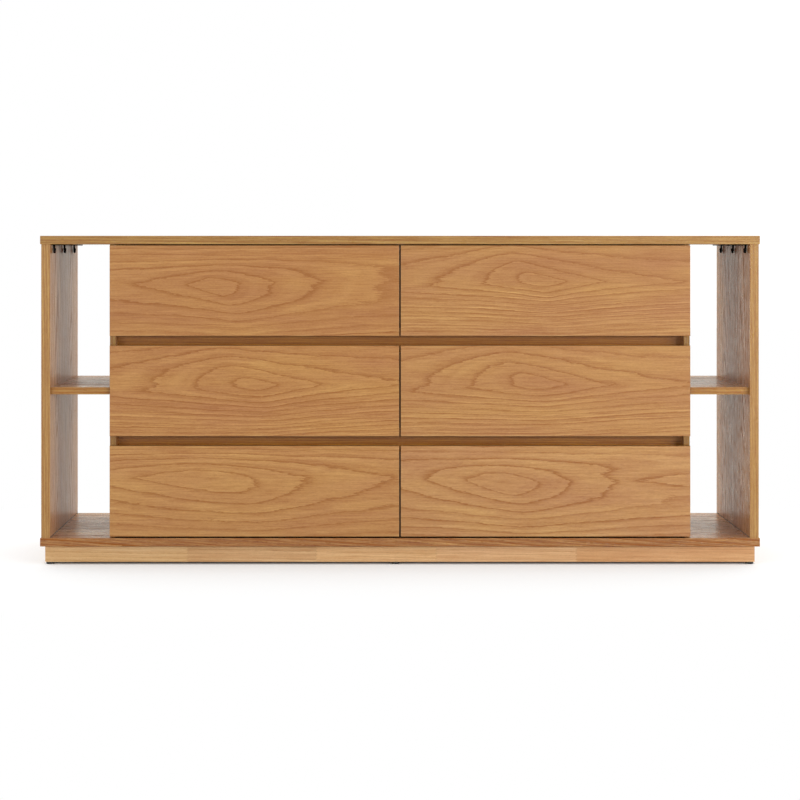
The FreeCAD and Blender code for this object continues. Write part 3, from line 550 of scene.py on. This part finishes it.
def rift_veneer():
    """Straight-grained oak veneer on the grip rails, its rings cut square on."""
    line_spacing = 6.0  # mm
    material, tree = new_material("oak_veneer_rails")
    along, across = lying_grain(tree, FRONT_GRAIN, "y")[:2]
    distance = straight_grain(tree, along, across, line_spacing)
    grain = grain_nodes(tree, along, across, distance, 1.0, 8.8)
    # Darker and more saturated than the faces: partly the rails' own tone, partly painted shade
    # of the finger recesses they sit in.
    colour = oak_colour(tree, grain, "#A96A24", "#9F611D", "#804B15")
    lacquered_oak(tree, grain, colour)
    return material


# The hearts of each drawer front's crown figure, in mm along X and Z, as HEART lists.
FRONT_HEARTS = {
    ("top", "left"): [
        (-477, 699, 0.132, 0.088, -0.35, 1.99, 0.27, 0.162, 106, 398, 2.0, 0.35, 44, 63, 0.009),
    ],
    ("middle", "left"): [
        (-360, 451, 0.075, 0.148, 2.35, 0.52, 0.134, 0.162, 498, 247, 4.5, -0.35, 72, 171, 0.031),
    ],
    ("bottom", "left"): [
        (-471, 216, 0.139, 0.068, 1.25, 2.91, 0.064, 0.132, 2280, 383, 1.2, 0.10, 45, 96, 0.006),
    ],
    ("top", "right"): [
        (355, 710, 0.083, 0.176, 2.31, 0.61, 0.187, 0.207, 268, 192, 3.0, -0.30, 77, 194, 0.016),
    ],
    ("middle", "right"): [
        (349, 454, 0.069, 0.145, 2.42, 0.48, 0.126, 0.156, 531, 273, 3.7, -0.58, 80, 191, 0.024),
    ],
    ("bottom", "right"): [
        (260, 206, 0.114, 0.087, 0.99, 1.27, 0.143, 0.144, 482, 605, 1.2, 0.39, 37, 60, -0.007),
        (760, 211, 0.10, 0.10, 0.0, 0.0, 0.063, 0.06, 600, 600, 20.1, 0.0, 60, 60, 0.0),
    ],
}


# Light and dark tone of each front's leaf of veneer, the lower rows painted paler: painted light
# that evens out the light falling off towards the bottom.
FRONT_TONES_AND_PAINTED_LIGHT = {
    ("top", "left"): ("#B88348", "#AB7242"),
    ("middle", "left"): ("#BB8749", "#AE7543"),
    ("bottom", "left"): ("#BE8B4D", "#B17947"),
    ("top", "right"): ("#B9874D", "#AC7547"),
    ("middle", "right"): ("#BB894D", "#AE7747"),
    ("bottom", "right"): ("#C08F54", "#B37D4E"),
}


def solid_plinth_oak():
    """Solid oak staves finger-jointed end to end, oiled paler than the veneer."""
    joints = (-530.0, -207.0, 94.0, 445.0)  # mm along the front board
    finger = 4.0  # pitch of the fingers, mm
    reach = 5.0  # how far the fingers run past the joint, mm
    seam_half = 0.35  # half the width of the glue line, mm
    seam_strength = 0.4
    line_spacing = 11.0  # mm
    material, tree = new_material("finger_jointed_solid_oak")
    along, across = lying_grain(tree, FRONT_GRAIN, "y")[:2]
    zigzag = add(tree, "Math", "PINGPONG", {0: across, 1: finger})
    shifted = add(tree, "Math", "MULTIPLY_ADD", {0: zigzag, 1: reach / finger, 2: along})
    # How pale each stave is in red, green and blue, from left to right.
    tints = ((1.06, 1.07, 1.03), (0.95, 0.89, 0.83), (1.08, 1.04, 0.99), (1.06, 1.0, 1.0),
             (0.97, 0.83, 0.74))
    stave = None
    seam = None
    paler = tints[0]
    for joint, tint in zip(joints, tints[1:]):
        past = add(tree, "Math", "GREATER_THAN", {0: shifted, 1: joint})
        near = add(tree, "Math", "COMPARE", {0: shifted, 1: joint, 2: seam_half})
        stave = past if stave is None else add(tree, "Math", "ADD", {0: stave, 1: past})
        seam = near if seam is None else add(tree, "Math", "MAXIMUM", {0: seam, 1: near})
        paler = add(tree, "Mix", {"data_type": "VECTOR"}, {0: past, 4: paler, 5: tint}, output=1)
    seed = add(tree, "Math", "MULTIPLY_ADD", {0: stave, 1: 5.3, 2: 2.0})
    distance = straight_grain(tree, along, across, line_spacing)
    grain = grain_nodes(tree, along, across, distance, 1.0, seed)
    colour = oak_colour(tree, grain, "#DBB283", "#D0A572", "#BF8F58", streaks=0.3)
    colour = add(tree, "VectorMath", "MULTIPLY", {0: colour, 1: paler})
    seam = add(tree, "Math", "MULTIPLY", {0: seam, 1: seam_strength})
    colour = add(tree, "Mix", {"data_type": "RGBA"},
                 {0: seam, 6: colour, 7: linear("#8A5F38")}, output=2)
    lacquered_oak(tree, grain, colour, 0.42)
    return material


def birch_plywood(name, layout, face, seed):
    """Clear-lacquered birch plywood: pale, faint figure, plies showing on its edges."""
    ply = 1.4  # mm, thickness of one ply
    line_spacing = 18.0  # mm
    line_strength = 0.3
    ply_strength = 0.55
    material, tree = new_material(name)
    along, across, edge = lying_grain(tree, layout, face)
    distance = straight_grain(tree, along, across, line_spacing)
    grain = grain_nodes(tree, along, across, distance, 1.0, seed)
    tone = add(tree, "MapRange", None,
               {"Value": grain["Tone"], "From Min": -TONE_RANGE, "From Max": TONE_RANGE})
    colour = add(tree, "Mix", {"data_type": "RGBA"},
                 {0: tone, 6: linear("#D9BD92"), 7: linear("#E2C9A2")}, output=2)
    faint = add(tree, "Math", "MULTIPLY", {0: grain["Line"], 1: line_strength})
    colour = add(tree, "Mix", {"data_type": "RGBA"},
                 {0: faint, 6: colour, 7: linear("#C39E6E")}, output=2)
    layer = add(tree, "Math", "PINGPONG", {0: across, 1: ply})
    dark_ply = add(tree, "Math", "GREATER_THAN", {0: layer, 1: ply / 2})
    for share in (edge, ply_strength):
        dark_ply = add(tree, "Math", "MULTIPLY", {0: dark_ply, 1: share})
    colour = add(tree, "Mix", {"data_type": "RGBA"},
                 {0: dark_ply, 6: colour, 7: linear("#B08A5C")}, output=2)
    streak = add(tree, "MapRange", None, {
        "Value": grain["Streak"], "From Min": -0.5, "From Max": 0.5,
        "To Min": 0.94, "To Max": 1.06,
    })
    colour = add(tree, "VectorMath", "SCALE", {0: colour, "Scale": streak})
    bump = add(tree, "Bump", {"invert": True},
               {"Strength": 0.3, "Distance": 0.02 * MM, "Height": grain["Line"]})
    finish_material(tree, **{"Base Color": colour, "Roughness": 0.45, "Normal": bump})
    return material


def textured_black(name, grit, detail, dark, light, relief, strength, finish):
    """A black surface with a fine uneven texture.

    The grit is the mm from bump to bump, and the relief their height in mm, shown at
    the strength.
    """
    material, tree = new_material(name)
    place = add(tree, "TexCoord", output="Object")
    noise = add(tree, "TexNoise", None,
                {"Vector": place, "Scale": 1 / (grit * MM), "Detail": detail})
    shade = add(tree, "Mix", {"data_type": "RGBA"},
                {0: noise, 6: linear(dark), 7: linear(light)}, output=2)
    bump = add(tree, "Bump", None,
               {"Strength": strength, "Distance": relief * MM, "Height": noise})
    finish_material(tree, **{"Base Color": shade, "Normal": bump}, **finish)
    return material


def black_steel():
    """Powder-coated steel: matt black with the fine orange peel of the coat."""
    return textured_black("black_powder_coated_steel", 0.6, 1.0, "#141414", "#1C1B1A",
                          0.05, 0.25, {"Roughness": 0.9, "Specular IOR Level": 0.05})


def black_plastic():
    """Moulded polypropylene glides: dull black, lightly textured and scuffed."""
    return textured_black("moulded_black_polypropylene", 0.9, 2.0, "#121212", "#20201F",
                          0.04, 0.3, {"Roughness": 0.55})


def zinc_steel():
    """Zinc-plated rolled steel: bright grey, drawn lines along the depth."""
    line = 0.5  # mm between the rolling lines
    line_length = 60.0  # mm
    spangle = 18.0  # mm, size of the lighter and darker patches of zinc
    material, tree = new_material("zinc_plated_steel")
    place = add(tree, "TexCoord", output="Object")
    rolled = add(tree, "Mapping", {"vector_type": "POINT"}, {
        "Vector": place, "Scale": (1 / (line * MM), 1 / (line_length * MM), 1 / (line * MM)),
    })
    lines = add(tree, "TexNoise", None, {"Vector": rolled, "Scale": 1.0, "Detail": 2.0})
    patches = add(tree, "TexNoise", None,
                  {"Vector": place, "Scale": 1 / (spangle * MM), "Detail": 2.0})
    shade = add(tree, "Mix", {"data_type": "RGBA"},
                {0: patches, 6: linear("#A9ACAE"), 7: linear("#C3C5C4")}, output=2)
    rough = add(tree, "MapRange", None, {"Value": lines, "To Min": 0.24, "To Max": 0.42})
    finish_material(tree, **{"Base Color": shade, "Metallic": 1.0, "Roughness": rough})
    return material


def beech_dowel():
    """Fluted beech pins: pinkish tan with short dark flecks."""
    material, tree = new_material("beech_dowel_wood")
    along, across = lying_grain(tree, UPRIGHT_GRAIN, "x")[:2]
    grain = grain_nodes(tree, along, across, across, 1.0, 4.0)
    colour = add(tree, "Mix", {"data_type": "RGBA"},
                 {0: grain["Line"], 6: linear("#D2A679"), 7: linear("#B98557")}, output=2)
    finish_material(tree, **{"Base Color": colour, "Roughness": 0.6})
    return material


def coat(material, *names):
    """Gives CAD nodes this one material."""
    for name in names:
        mesh = nodes[name].data
        mesh.materials.clear()
        mesh.materials.append(material)


def dress_carcass():
    top = leaf_veneer("oak_veneer_top", FLAT_GRAIN, "z", -260, 540, 1.3, TOP_BAND,
                      finish=painted_light_to_the_right)
    coat(top, "top_panel")
    bottom = leaf_veneer("oak_veneer_bottom", FLAT_GRAIN, "z", 310, -480, 2.1, BOTTOM_BAND,
                         edge=(10.0, 300.0, 0.06), edge_line=2.8, mottle=0.7,
                         finish=painted_gap_shade, streaks=1.0)
    coat(bottom, "bottom_panel")
    for side, seed, mottle in (("left", 3.2, 0.4), ("right", 4.6, 1.0)):
        end = leaf_veneer(f"oak_veneer_{side}_end", UPRIGHT_GRAIN, "x", 420, 170, seed,
                          mottle=mottle, finish=painted_joint_shadow, roughness=0.33)
        coat(end, f"{side}_end_panel")
        case = leaf_veneer(f"oak_veneer_{side}_case", UPRIGHT_GRAIN, "x", 350, -210, seed + 5,
                           CASE_BAND)
        coat(case, f"{side}_case_side")
    shelves = leaf_veneer("oak_veneer_shelves", FLAT_GRAIN, "z", -800, 1600, 6.4, SHELF_BAND,
                          edge=(7.7, 296.7, 0.0), edge_line=2.4, mottle=0.8)
    coat(shelves, "left_open_shelf", "right_open_shelf")
    divider = leaf_veneer("oak_veneer_divider", UPRIGHT_GRAIN, "x", 300, 220, 7.7, DIVIDER_SHADE_BAND)
    coat(divider, "centre_divider")
    coat(rift_veneer(), "lower_grip_rail", "upper_grip_rail")
    back = leaf_veneer("oak_veneer_back", UPRIGHT_GRAIN, "y", 400, 95, 9.9, leaf_width=290.0)
    coat(back, "back_panel")
    coat(solid_plinth_oak(), "plinth_front_board", "plinth_back_board",
         "plinth_end_boards", "plinth_cross_rails")
    coat(beech_dowel(), "joint_dowels")


def dress_drawers():
    box_sides = birch_plywood("birch_ply_sides", DEPTH_GRAIN, "x", 11.0)
    box_ends = birch_plywood("birch_ply_ends", FRONT_GRAIN, "y", 12.0)
    box_bottoms = birch_plywood("birch_ply_bottoms", FLAT_GRAIN, "z", 13.0)
    for number, (row, column) in enumerate(FRONT_HEARTS):
        name = f"{row}_{column}"
        veneer = drawer_front_veneer(
            f"oak_veneer_{name}_front", FRONT_HEARTS[row, column], 20.0 + 2.3 * number,
            *FRONT_TONES_AND_PAINTED_LIGHT[row, column],
        )
        coat(veneer, f"{name}_drawer_front")
        coat(box_sides, f"{name}_drawer_sides")
        coat(box_ends, f"{name}_drawer_ends")
        coat(box_bottoms, f"{name}_drawer_bottom")


def dress_metal(zinc, black):
    coat(black, "left_hook_rail", "right_hook_rail", "hanging_hooks")
    coat(black_plastic(), "glide_feet")
    coat(zinc, "case_slide_channels")
    for row in ROWS:
        for column in COLUMNS:
            coat(zinc, f"{row}_{column}_drawer_slides", f"{row}_{column}_middle_slides")


# Small hardware: screws with a cross recess, and the ball cages of the slides


def verts_of(items):
    return [item for item in items if isinstance(item, bmesh.types.BMVert)]


def edges_of(items):
    return [item for item in items if isinstance(item, bmesh.types.BMEdge)]


def copy_to(mesh, places):
    """Copies all that the mesh holds to each place, a matrix, and removes the first."""
    first = mesh.verts[:] + mesh.edges[:] + mesh.faces[:]
    for place in places:
        copy = bmesh.ops.duplicate(mesh, geom=first)["geom"]
        bmesh.ops.transform(mesh, matrix=place, verts=verts_of(copy))
    bmesh.ops.delete(mesh, geom=verts_of(first), context="VERTS")


def finished_piece(mesh, name, material, body):
    """A piece made of the mesh, which rides on the body."""
    data = bpy.data.meshes.new(name)
    bmesh.ops.recalc_face_normals(mesh, faces=mesh.faces)
    mesh.to_mesh(data)
    mesh.free()
    data.materials.append(material)
    piece = bpy.data.objects.new(name, data)
    bpy.context.scene.collection.objects.link(piece)
    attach(piece, body)
    return piece


def recessed_screw(top_radius, rings):
    """A screw pointing up, its head's top at 0, with a cross recess pressed into it.

    The rings are the radius and height, in mm, of each step down the head and shank.
    """
    sides = 12  # round the head, as many as the cross has corners
    cross_half = 0.56 * top_radius  # half the span of the cross
    cross_depth = 0.75  # mm
    taper = 0.55  # how much of the cross is left at its bottom
    mesh = bmesh.new()
    bmesh.ops.create_grid(mesh, x_segments=3, y_segments=3, size=cross_half * MM)
    corner = cross_half * MM / 2
    corners = [
        face for face in mesh.faces
        if min(abs(face.calc_center_median().x), abs(face.calc_center_median().y)) > corner
    ]
    bmesh.ops.delete(mesh, geom=corners, context="FACES")
    cross = mesh.faces[:]
    outline = [edge for edge in mesh.edges if edge.is_boundary]
    circle = bmesh.ops.create_circle(
        mesh, cap_ends=False, segments=sides, radius=top_radius * MM,
        matrix=Matrix.Rotation(math.radians(180 / sides), 4, "Z"),
    )
    rim = list({edge for vert in circle["verts"] for edge in vert.link_edges})
    bmesh.ops.bridge_loops(mesh, edges=outline + rim)
    radius, height = top_radius, 0.0
    for next_radius, next_height in rings:
        step = bmesh.ops.extrude_edge_only(mesh, edges=rim)["geom"]
        bmesh.ops.scale(mesh, verts=verts_of(step),
                        vec=(next_radius / radius, next_radius / radius, 1.0))
        bmesh.ops.translate(mesh, verts=verts_of(step),
                            vec=(0, 0, (next_height - height) * MM))
        rim = [edge for edge in edges_of(step) if edge.is_boundary]
        radius, height = next_radius, next_height
    bmesh.ops.edgeloop_fill(mesh, edges=rim)
    sunk = bmesh.ops.extrude_face_region(mesh, geom=cross)["geom"]
    bmesh.ops.scale(mesh, verts=verts_of(sunk), vec=(taper, taper, 1.0))
    bmesh.ops.translate(mesh, verts=verts_of(sunk), vec=(0, 0, -cross_depth * MM))
    return mesh


def turned_to(direction, place):
    """The matrix that turns a screw's head to the direction and moves it to the place."""
    turn = Vector(direction).to_track_quat("Z", "Y").to_matrix().to_4x4()
    return Matrix.Translation(Vector(place)) @ turn


def make_back_screws(zinc):
    """Pan-head screws through the back panel, in the places of the CAD's screws."""
    per_column = 5
    head_radius = 3.5 * MM
    low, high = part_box("back_panel_screws")
    columns = (low.x + head_radius, 0.0, high.x - head_radius)
    pitch = (high.z - low.z - 2 * head_radius) / (per_column - 1)
    places = [
        turned_to((0, 1, 0), (across, high.y, low.z + head_radius + step * pitch))
        for across in columns
        for step in range(per_column)
    ]
    mesh = recessed_screw(2.45, [(3.2, -0.7), (3.5, -2.0), (1.75, -2.0), (1.75, -14.0)])
    copy_to(mesh, places)
    screws = finished_piece(mesh, "back_screw_heads", zinc, "carcass")
    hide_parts("back_panel_screws")


def make_rail_screws(black):
    """Countersunk screws that hold the hook rails, two in each."""
    head_radius = 3.5 * MM
    low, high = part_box("hook_rail_screws")
    places = [
        turned_to((0, 0, -1), (across, depth, low.z))
        for across in (low.x + head_radius, high.x - head_radius)
        for depth in (low.y + head_radius, high.y - head_radius)
    ]
    mesh = recessed_screw(3.5, [(1.75, -1.75), (1.75, -12.0)])
    copy_to(mesh, places)
    screws = finished_piece(mesh, "rail_screw_heads", black, "carcass")
    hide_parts("hook_rail_screws")


def make_front_screws(zinc, row, column):
    """Four pan-head screws inside each drawer, which hold its front to its box."""
    board = 12 * MM  # thickness of the box's inner front
    head_height = 2 * MM
    inset = Vector((95, 0, 42)) * MM  # of the screws from the board's ends and edges
    low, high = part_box(f"{row}_{column}_drawer_ends")
    places = [
        turned_to((0, 1, 0), (across, low.y + board + head_height, height))
        for across in (low.x + inset.x, high.x - inset.x)
        for height in (low.z + inset.z, high.z - inset.z)
    ]
    mesh = recessed_screw(2.6, [(3.6, -0.8), (4.0, -2.0), (2.0, -2.0), (2.0, -12.0)])
    copy_to(mesh, places)
    finished_piece(mesh, f"{row}_{column}_front_screws", zinc, f"{row}_{column}_drawer")


def make_ball_cages(steel, row, column):
    """The sheet cages and balls that run between the three sections of each slide.

    Each cage is (name, web, flange ends, half height, balls' place, y from, y to), in mm
    off the wall of the opening and from the front end of the slide.
    """
    standoff = 2.6 * MM  # from the wall to the middle section
    sheet = 0.5 * MM
    ball_radius = 1.1 * MM
    pitch = 12.5 * MM
    low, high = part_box(f"{row}_{column}_middle_slides")
    centre = (low.z + high.z) / 2
    walls = ((low.x - standoff, 1), (high.x + standoff, -1))
    cages = (
        ("outer", 1.9, 8.6, 20.15, 6.0, 220, 370),
        ("inner", 4.6, 9.8, 16.65, 7.8, 20, 170),
    )
    for name, web, tip, half, ball, start, end in cages:
        mesh = bmesh.new()
        balls = [
            Matrix.Translation((wall + way * ball * MM, low.y + start * MM + pitch * (k + 0.5),
                                centre + rise * half * MM))
            for wall, way in walls
            for rise in (-1, 1)
            for k in range(int((end - start) * MM / pitch))
        ]
        bmesh.ops.create_uvsphere(mesh, u_segments=8, v_segments=5, radius=ball_radius)
        copy_to(mesh, balls)
        for face in mesh.faces:
            face.smooth = True
        for wall, way in walls:
            corners = [
                mesh.verts.new((wall + way * reach * MM, low.y + start * MM,
                                centre + rise * half * MM))
                for reach, rise in ((tip, -1), (web, -1), (web, 1), (tip, 1))
            ]
            outline = [mesh.edges.new(pair) for pair in zip(corners, corners[1:])]
            strip = bmesh.ops.extrude_edge_only(mesh, edges=outline)["geom"]
            bmesh.ops.translate(mesh, verts=verts_of(strip),
                                vec=(0, (end - start) * MM, 0))
            faces = [item for item in strip if isinstance(item, bmesh.types.BMFace)]
            bmesh.ops.solidify(mesh, geom=faces, thickness=sheet)
        finished_piece(mesh, f"{row}_{column}_{name}_ball_cages", steel,
                       f"{row}_{column}_slide_middles")


def make_hardware(zinc, black):
    make_back_screws(zinc)
    make_rail_screws(black)
    for row in ROWS:
        for column in COLUMNS:
            make_front_screws(zinc, row, column)
            make_ball_cages(zinc, row, column)


def looked_at(tree):
    """1 for what the camera, a reflection or a glass shows, 0 for soft light."""
    rays = add(tree, "LightPath", output=None)
    seen = rays["Is Camera Ray"]
    for other in ("Is Glossy Ray", "Is Transmission Ray"):
        seen = add(tree, "Math", "MAXIMUM", {0: seen, 1: rays[other]})
    return seen


def ground_colour(tree):
    """White as the camera sees it, and faintly warm where it lights a reflection."""
    glossy = add(tree, "LightPath", output="Is Glossy Ray")
    return add(tree, "Mix", {"data_type": "RGBA"},
               {0: glossy, 6: grey(1.0), 7: (1.0, 0.985, 0.9, 1.0)}, output=2)


def make_floor():
    """A pale studio floor, white to the camera, that keeps the dresser's shadow."""
    half = 14.0  # m
    plinth_inset = Vector((11, 12, 0)) * MM  # from the edges of the top to the plinth
    foot_half = Vector((cad_high.x, cad_high.y, 0)) - plinth_inset
    mesh = bmesh.new()
    bmesh.ops.create_grid(mesh, x_segments=1, y_segments=1, size=half)
    floor = bpy.data.objects.new("studio_floor", bpy.data.meshes.new("studio_floor"))
    mesh.to_mesh(floor.data)
    mesh.free()
    bpy.context.scene.collection.objects.link(floor)
    material, tree = new_material("pale_studio_floor")
    place = add(tree, "TexCoord", output="Object")
    place = add(tree, "VectorMath", "ABSOLUTE", {0: place})
    place = add(tree, "VectorMath", "SUBTRACT", {0: place, 1: foot_half})
    place = add(tree, "VectorMath", "MAXIMUM", {0: place, 1: (0.0, 0.0, 0.0)})
    reach = add(tree, "VectorMath", "LENGTH", {0: place}, output=1)
    # Away from the plinth the floor turns from lit paper into the plain white ground.
    fade = add(tree, "ValToRGB", {"stops": [
        (0.0, grey(0.0)), (0.015, grey(0.35)), (0.14, grey(0.6)), (0.35, grey(0.85)),
        (0.65, grey(1.0)),
    ]}, {"Fac": reach})
    paper = add(tree, "BsdfDiffuse", None, {"Color": grey(0.5)})
    # A trace of blue evens out the warm light that the wood throws on the paper.
    seen_paper = add(tree, "BsdfDiffuse", None, {"Color": (0.975, 0.995, 1.0, 1.0)})
    white = add(tree, "Emission", None, {"Color": ground_colour(tree), "Strength": 1.0})
    seen = add(tree, "MixShader", None, {0: fade, 1: seen_paper, 2: white})
    add(tree, "OutputMaterial", None, {
        "Surface": add(tree, "MixShader", None, {0: looked_at(tree), 1: paper, 2: seen}),
    })
    floor.data.materials.append(material)


def make_world():
    """White ground behind and light overhead, dimmer towards the front of the studio.

    The camera sees plain white, and reflections see the white ground too, a little
    greyer on the left.
    """
    soft_ahead, soft_behind = 0.22, 1.9  # strength of the light that lamps don't give
    seen_ahead, seen_left, seen_right = 0.5, 0.82, 1.19  # and of what reflections find
    overhead_share = 0.46  # how near the light overhead comes to the light behind
    world = bpy.data.worlds.new("studio_white")
    bpy.context.scene.world = world
    world.use_nodes = True
    tree = world.node_tree
    tree.nodes.clear()
    axes = add(tree, "SeparateXYZ", None,
               {0: add(tree, "TexCoord", output="Generated")}, output=None)
    behind = add(tree, "MapRange", {"interpolation_type": "SMOOTHSTEP"},
                 {"Value": axes["Y"], "From Min": -0.35, "From Max": 0.35})
    overhead = add(tree, "MapRange", {"interpolation_type": "SMOOTHSTEP"},
                   {"Value": axes["Z"], "From Min": 0.25, "From Max": 0.8,
                    "To Max": overhead_share})
    bright = add(tree, "Math", "MAXIMUM", {0: behind, 1: overhead})
    least = add(tree, "MapRange", None,
                {"Value": looked_at(tree), "To Min": soft_ahead, "To Max": seen_ahead})
    reflected = add(tree, "MapRange", None, {
        "Value": axes["X"], "From Min": -0.3, "From Max": 0.3,
        "To Min": seen_left, "To Max": seen_right,
    })
    most = add(tree, "MapRange", None,
               {"Value": looked_at(tree), "To Min": soft_behind, "To Max": reflected})
    strength = add(tree, "MapRange", None, {"Value": bright, "To Min": least, "To Max": most})
    camera = add(tree, "LightPath", output="Is Camera Ray")
    strength = add(tree, "Math", "MAXIMUM", {0: strength, 1: camera})
    light = add(tree, "Background", None, {"Color": ground_colour(tree), "Strength": strength})
    add(tree, "OutputWorld", None, {"Surface": light})


def make_lamp(name, place, aim, size, watts):
    """A softbox of so many metres wide and high, turned to its aim."""
    lamp = bpy.data.lights.new(name, "AREA")
    lamp.shape = "RECTANGLE"
    lamp.size, lamp.size_y = size
    lamp.energy = watts
    holder = bpy.data.objects.new(name, lamp)
    bpy.context.scene.collection.objects.link(holder)
    holder.location = place
    holder.rotation_euler = (Vector(aim) - Vector(place)).to_track_quat("-Z", "Y").to_euler()


def make_camera():
    """A level camera just under the height of the top, its long lens shifted down."""
    picture = 800  # px, the picture's width and height
    vanishing = (368, 250)  # px, where lines square to the front run together
    camera = bpy.data.cameras.new("front_camera")
    camera.sensor_width = 36.0  # mm
    camera.lens = 84.06  # mm
    camera.shift_x = (picture / 2 - vanishing[0]) / picture
    camera.shift_y = (vanishing[1] - picture / 2) / picture
    camera.dof.use_dof = False
    holder = bpy.data.objects.new("front_camera", camera)
    bpy.context.scene.collection.objects.link(holder)
    holder.location = (-0.080, -4.895, 0.7875)
    holder.rotation_euler = (math.radians(90), 0, 0)
    bpy.context.scene.camera = holder


dress_carcass()
dress_drawers()
zinc = zinc_steel()
black = black_steel()
dress_metal(zinc, black)
make_hardware(zinc, black)
make_floor()
make_world()
middle_of_dresser = (0.0, 0.0, 0.4)
make_lamp("key_softbox", (3.9, -3.5, 1.0), middle_of_dresser, (3.6, 0.7), 139)
make_lamp("fill_softbox", (-4.0, -4.6, 1.1), middle_of_dresser, (3.2, 0.7), 77)
make_camera()
bpy.context.scene.view_settings.view_transform = "Standard"
